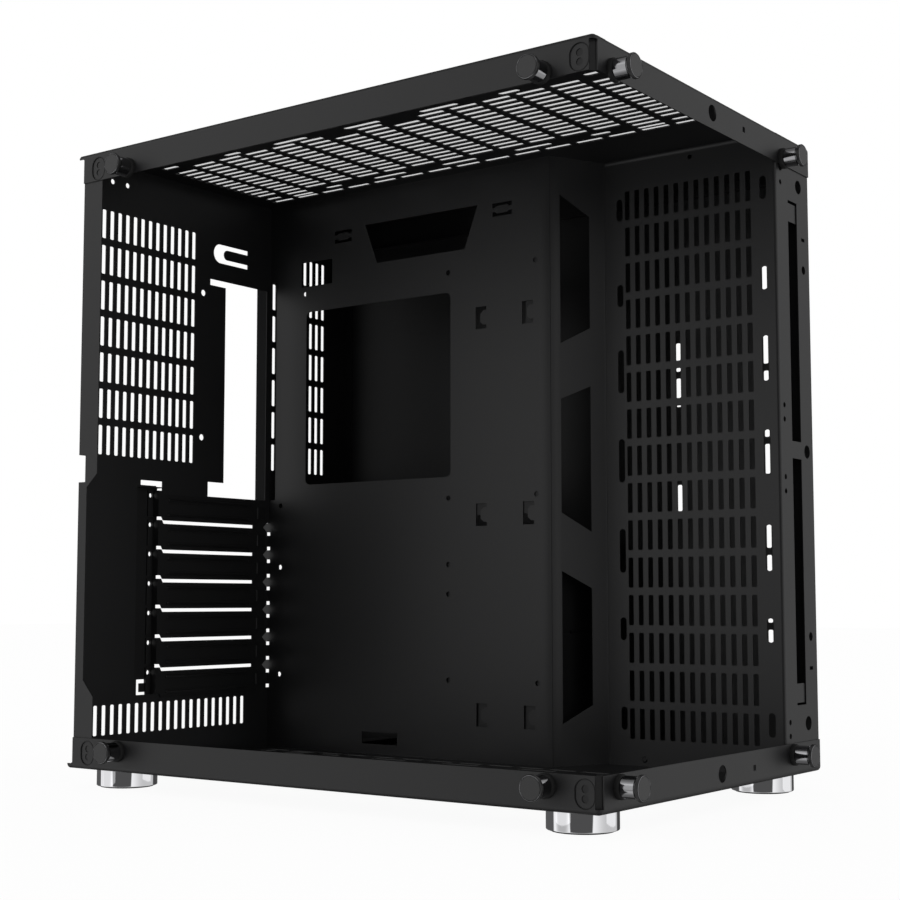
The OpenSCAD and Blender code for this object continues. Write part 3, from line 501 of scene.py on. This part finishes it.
for low, high in islands("stud_heads"):
    middle = (low + high) / 2
    if high.x - low.x < high.y - low.y:
        out, root = Vector((-1, 0, 0)), Vector((left, middle.y, middle.z))
    else:
        out, root = Vector((0, -1, 0)), Vector((middle.x, front, middle.z))
    r = head_r
    heads.turn(
        [
            (3.0 * mm, sleeve_top),
            (r - 0.5 * mm, sleeve_top),
            (r, sleeve_top + 0.4 * mm, 1.0),
            (r, head_top - 0.5 * mm, 1.0),
            (r - 0.4 * mm, head_top - 0.1 * mm),
            (r - 0.9 * mm, head_top - 0.1 * mm),
            (r - 1.0 * mm, head_top - 0.02 * mm),
        ],
        root, out, knurl_sides, knurls, knurl_depth,
    )
    chamfers.turn(
        [
            (r - 0.6 * mm, head_top - 0.4 * mm),
            (r - 0.28 * mm, head_top - 0.3 * mm),
            (r - 0.5 * mm, head_top - 0.04 * mm),
            (r - 0.62 * mm, head_top),
            (r - 0.7 * mm, head_top - 0.1 * mm),
        ],
        root, out, 96,
    )
    sleeves.turn(
        [
            (neck_r, 0),
            (neck_r, washer_top),
            (sleeve_r - 0.4 * mm, washer_top),
            (sleeve_r, washer_top + 0.4 * mm),
            (sleeve_r, sleeve_top - 0.9 * mm),
            (sleeve_r - 0.4 * mm, sleeve_top - 0.6 * mm),
            (sleeve_r - 0.4 * mm, sleeve_top),
        ],
        root, out, 64,
    )
    sleeves.turn([(thread_r, -thread_l), (thread_r, 0)], root, out, 24)
    washers.turn(
        [
            (neck_r + 0.1 * mm, 0),
            (washer_r, 0),
            (washer_r, washer_top - 1.2 * mm),
            (washer_r - 0.3 * mm, washer_top - 0.5 * mm),
            (washer_r - 0.9 * mm, washer_top - 0.1 * mm),
            (washer_r - 1.6 * mm, washer_top),
            (neck_r + 0.1 * mm, washer_top),
        ],
        root, out, 64,
    )
heads.set_on("thumb_heads", head_coat, "dark_steel", "stud_heads")
chamfers.set_on("thumb_head_chamfers", edge_coat, "chrome")
sleeves.set_on("bright_sleeves", bright_coat, "chrome", "stud_sleeves")
washers.set_on("soft_washers", rubber_coat, "rubber", "stud_washers")

# Feet: spun shells with a rolled lower edge, chrome plated, each with a rubber pad
# that stands on the floor and a screw up into the bottom panel.
chrome_coat = Coat("chrome plate", Base_Color=(0.86, 0.86, 0.88, 1), Metallic=1.0)
haze = chrome_coat.noise(60.0, 3.0)
chrome_coat.set(
    Roughness=0.03 + haze * 0.03, Normal=chrome_coat.bump(haze, 0.00001, 0.05)
)
stem_r, pad_height, pad_gap = 2.8 * mm, 3.2 * mm, 2.4 * mm
foot_edge, roll = 0.5 * mm, 0.6 * mm
for number in range(1, 5):
    node = "foot_%d" % number
    low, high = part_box(node)
    middle = ((low.x + high.x) / 2, (low.y + high.y) / 2, 0)
    r = (high.x - low.x) / 2
    pad_r = r - pad_gap
    edge = [
        (r - roll + roll * math.sin(a), low.z + roll - roll * math.cos(a))
        for a in [math.pi / 2 * k / 6 for k in range(7)]
    ]
    foot = Piece().turn(
        [(stem_r, pad_height), (pad_r, pad_height), (pad_r, low.z)]
        + edge
        + [(r, high.z - foot_edge), (r - foot_edge, high.z), (stem_r, high.z)],
        middle, (0, 0, 1), 96,
    )
    foot.set_on("spun_foot_%d" % number, chrome_coat, "chrome", node)
rubber_coat.on("foot_pads", "psu_rests")
bright_coat.on("foot_screws")

# Dust filter over the top slots: a thin magnetic frame round a woven nylon mesh.
frame_coat = Coat("magnetic filter frame", Specular_IOR_Level=0.4)
frame_grain = frame_coat.noise(1200.0, 2.0)
frame_coat.set(
    Base_Color=frame_coat.blend(
        frame_grain, (0.010, 0.010, 0.010, 1), (0.02, 0.02, 0.02, 1)
    ),
    Roughness=0.5 + frame_grain * 0.15,
    Normal=frame_coat.bump(frame_grain, 0.00003, 0.5),
)
frame_coat.on("top_filter_frame")
mesh_coat = Coat("woven filter mesh", Specular_IOR_Level=0.3, Roughness=0.6)
thread_pitch, thread_edge, thread_cover = 0.9 * mm, 0.45, 0.35
threads = []
for axis in ("X", "Y"):
    wave = mesh_coat.node(
        "ShaderNodeMath",
        {"operation": "SINE"},
        {0: mesh_coat.axis(axis) * (2 * math.pi / thread_pitch)},
    )
    threads.append(wave > thread_edge)
woven = mesh_coat.node(
    "ShaderNodeMath", {"operation": "MAXIMUM"}, {0: threads[0], 1: threads[1]}
)
mesh_coat.set(
    Base_Color=mesh_coat.blend(threads[0], (0.02, 0.02, 0.02, 1), (0.03, 0.03, 0.03, 1)),
    Alpha=woven * thread_cover,
)
mesh_coat.on("top_filter_mesh")

# Drive cage, corner pieces, rivets and panel screws: small plated or coated steel
# parts, a little darker and flatter than the outer sheets.
cover_coat.on("corner_blocks", "rivets", "drive_cage")
screw_head, shank_r = 3.4 * mm, 1.6 * mm
screws = Piece()
for low, high in islands("panel_screws"):
    middle = (low + high) / 2
    y0, y1 = high.y - screw_head, high.y
    r = (high.x - low.x) / 2
    screws.turn(
        [
            (shank_r, low.y - y0),
            (shank_r, 0),
            (r, 0),
            (r, 2.0 * mm),
            (r - 0.5 * mm, 2.8 * mm),
            (r - 1.6 * mm, y1 - y0),
            (1.9 * mm, y1 - y0),
            (shank_r, y1 - y0 - 1.6 * mm),
        ],
        (middle.x, y0, middle.z), (0, 1, 0), 120, 30, 0.15 * mm,
    )
screws.set_on("thumb_screws", head_coat, "dark_steel", "panel_screws")

# Drive trays, small drive brackets, light channel and the port housing: injection
# moulded in black plastic with a fine spark texture.
plastic_coat = Coat("moulded black plastic", Specular_IOR_Level=0.4)
spark = plastic_coat.noise(1700.0, 2.0)
flow = plastic_coat.noise(14.0, 3.0)
plastic_coat.set(
    Base_Color=plastic_coat.blend(
        flow, (0.005, 0.005, 0.0055, 1), (0.010, 0.010, 0.0105, 1)
    ),
    Roughness=0.48 + spark * 0.14,
    Normal=plastic_coat.bump(spark, 0.00005, 0.5),
)
plastic_coat.on(
    "drive_sled_1", "drive_sled_2", "drive_sled_3", "card_drive_bracket_1",
    "card_drive_bracket_2", "light_channel", "port_plate", "port_housing", "audio_sockets",
)

# Port board: a small lacquered circuit board with faint copper tracks under green.
board_coat = Coat("port board lacquer", Roughness=0.3)
tracks = board_coat.noise(260.0, 0.0) > 0.52
board_coat.set(
    Base_Color=board_coat.blend(tracks, (0.008, 0.045, 0.02, 1), (0.015, 0.075, 0.035, 1)),
    Normal=board_coat.bump(tracks, 0.00003, 0.4),
)
board_coat.on("port_board")
bright_coat.on("usb_socket_1", "usb_socket_2", "usb_c_socket")

# Power and reset buttons: moulded caps with a dished face and a rounded rim, each
# sliding in its hole in the port plate.
cap_stem, spring_gap, cap_flange, cap_inset = 1.3 * mm, 1.0 * mm, 2.6 * mm, 1.5 * mm
for node, body in (("power_button", "power_cap"), ("reset_button", "reset_cap")):
    low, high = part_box(node)
    middle = ((low.x + high.x) / 2, (low.y + high.y) / 2, 0)
    flange_r = (high.x - low.x) / 2
    cap_r = flange_r - cap_inset
    z = high.z
    cap = Piece().turn(
        [
            (cap_stem, low.z),
            (cap_stem, low.z + spring_gap),
            (flange_r, low.z + spring_gap),
            (flange_r, low.z + cap_flange),
            (cap_r, low.z + cap_flange),
            (cap_r, z - 0.6 * mm),
            (cap_r - 0.17 * mm, z - 0.18 * mm),
            (cap_r - 0.6 * mm, z),
            (cap_r - 1.1 * mm, z - 0.06 * mm),
            (cap_r * 0.5, z - 0.28 * mm),
            (0.2 * mm, z - 0.35 * mm),
        ],
        middle, (0, 0, 1), 64,
    )
    cap.set_on(node + "_cap", plastic_coat, "plastic", node, body=body)

# The place it stands: a white floor that keeps a soft shadow, in a white room with
# darker cards that the bright metal and the coat reflect.
floor_mesh = bpy.data.meshes.new("studio floor")
reach, floor_glow, floor_mix = 6.0, 1.05, 0.9
floor_mesh.from_pydata(
    [(-reach, -reach, 0), (reach, -reach, 0), (reach, reach, 0), (-reach, reach, 0)],
    [],
    [(0, 1, 2, 3)],
)
floor = bpy.data.objects.new("studio_floor", floor_mesh)
bpy.context.scene.collection.objects.link(floor)
floor.visible_glossy = False
ground = Coat("pale floor", Base_Color=(0.9, 0.9, 0.9, 1), Roughness=0.9)
floor_mesh.materials.append(ground.material)
seen = ground.node("ShaderNodeLightPath", output="Is Camera Ray")
glow = ground.node("ShaderNodeEmission", {}, {"Color": (1, 1, 1, 1), "Strength": floor_glow})
mixed = ground.node(
    "ShaderNodeMixShader",
    {},
    {0: seen * floor_mix, 1: Wire(ground, ground.shader.outputs[0]), 2: glow},
)
ground.tree.links.new(mixed.socket, ground.output.inputs[0])


class Room(Coat):
    """The world's shader, written like a coat."""

    def __init__(self, world):
        self.tree = world.node_tree
        self.tree.nodes.clear()
        self.output = self.tree.nodes.new("ShaderNodeOutputWorld")


world = bpy.data.worlds.new("white room")
bpy.context.scene.world = world
world.use_nodes = True
room = Room(world)
look = room.node("ShaderNodeTexCoord", output="Generated")


def card(direction, start, end):
    """How far a direction lies inside a card that hangs in the room."""
    facing = room.node(
        "ShaderNodeVectorMath",
        {"operation": "DOT_PRODUCT"},
        {0: look, 1: direction},
        output="Value",
    )
    return room.node(
        "ShaderNodeMapRange",
        {"interpolation_type": "SMOOTHSTEP"},
        {"Value": facing, "From Min": start, "From Max": end},
    )


near_card = card((-0.893, -0.451, 0.0), 0.77, 0.81)
far_card = card((0.691, 0.723, 0.0), 0.40, 0.50)
left_card = card((-0.806, 0.592, 0.0), 0.86, 0.97)
side_card = card((0.806, -0.592, 0.0), 0.1, 0.9)
roof = card((0.0, 0.0, 1.0), 0.45, 0.95)
ground_card = card((0.0, 0.0, -1.0), 0.45, 0.95)
seen_white = room.node("ShaderNodeLightPath", output="Is Camera Ray")
mirrored = room.node("ShaderNodeLightPath", output="Is Glossy Ray")
panes = (1 - near_card * 0.92) * (1 - far_card * 0.9) * (1 - side_card * 0.4)
panes = panes * (1 - left_card * 0.5) * (1 - roof * 0.8) * (1 - ground_card * 0.8)
strength = seen_white + mirrored * panes + (1 - seen_white) * (1 - mirrored) * 0.5
sky = room.node("ShaderNodeBackground", {}, {"Color": (1, 1, 1, 1), "Strength": strength})
room.tree.links.new(sky.socket, room.output.inputs[0])


def soft_box(name, place, target, wide, high, watts):
    """A rectangular lamp at a place, turned to a target."""
    lamp = bpy.data.lights.new(name, "AREA")
    lamp.shape = "RECTANGLE"
    lamp.size = wide
    lamp.size_y = high
    lamp.energy = watts
    box = bpy.data.objects.new(name, lamp)
    box.location = place
    box.rotation_euler = (Vector(target) - Vector(place)).to_track_quat("-Z", "Y").to_euler()
    bpy.context.scene.collection.objects.link(box)


middle = (0.0, 0.0, 0.22)
soft_box("left light", (-1.9, 1.1, 0.5), middle, 2.4, 2.0, 5)
soft_box("front light", (1.5, -1.9, 0.5), middle, 2.0, 2.0, 4)

# The camera looks slightly up from the left front corner, as the photograph does.
lens = bpy.data.cameras.new("camera")
lens.sensor_width = 36.0
lens.lens = 64.383
lens.shift_x = 0.00755
lens.shift_y = 0.00588
camera = bpy.data.objects.new("camera", lens)
camera.location = (-0.839127, -0.617389, 0.120519)
camera.rotation_euler = (math.radians(90 + 5.15), 0, math.radians(-53.677))
bpy.context.scene.collection.objects.link(camera)
bpy.context.scene.camera = camera
bpy.context.scene.view_settings.view_transform = "Standard"
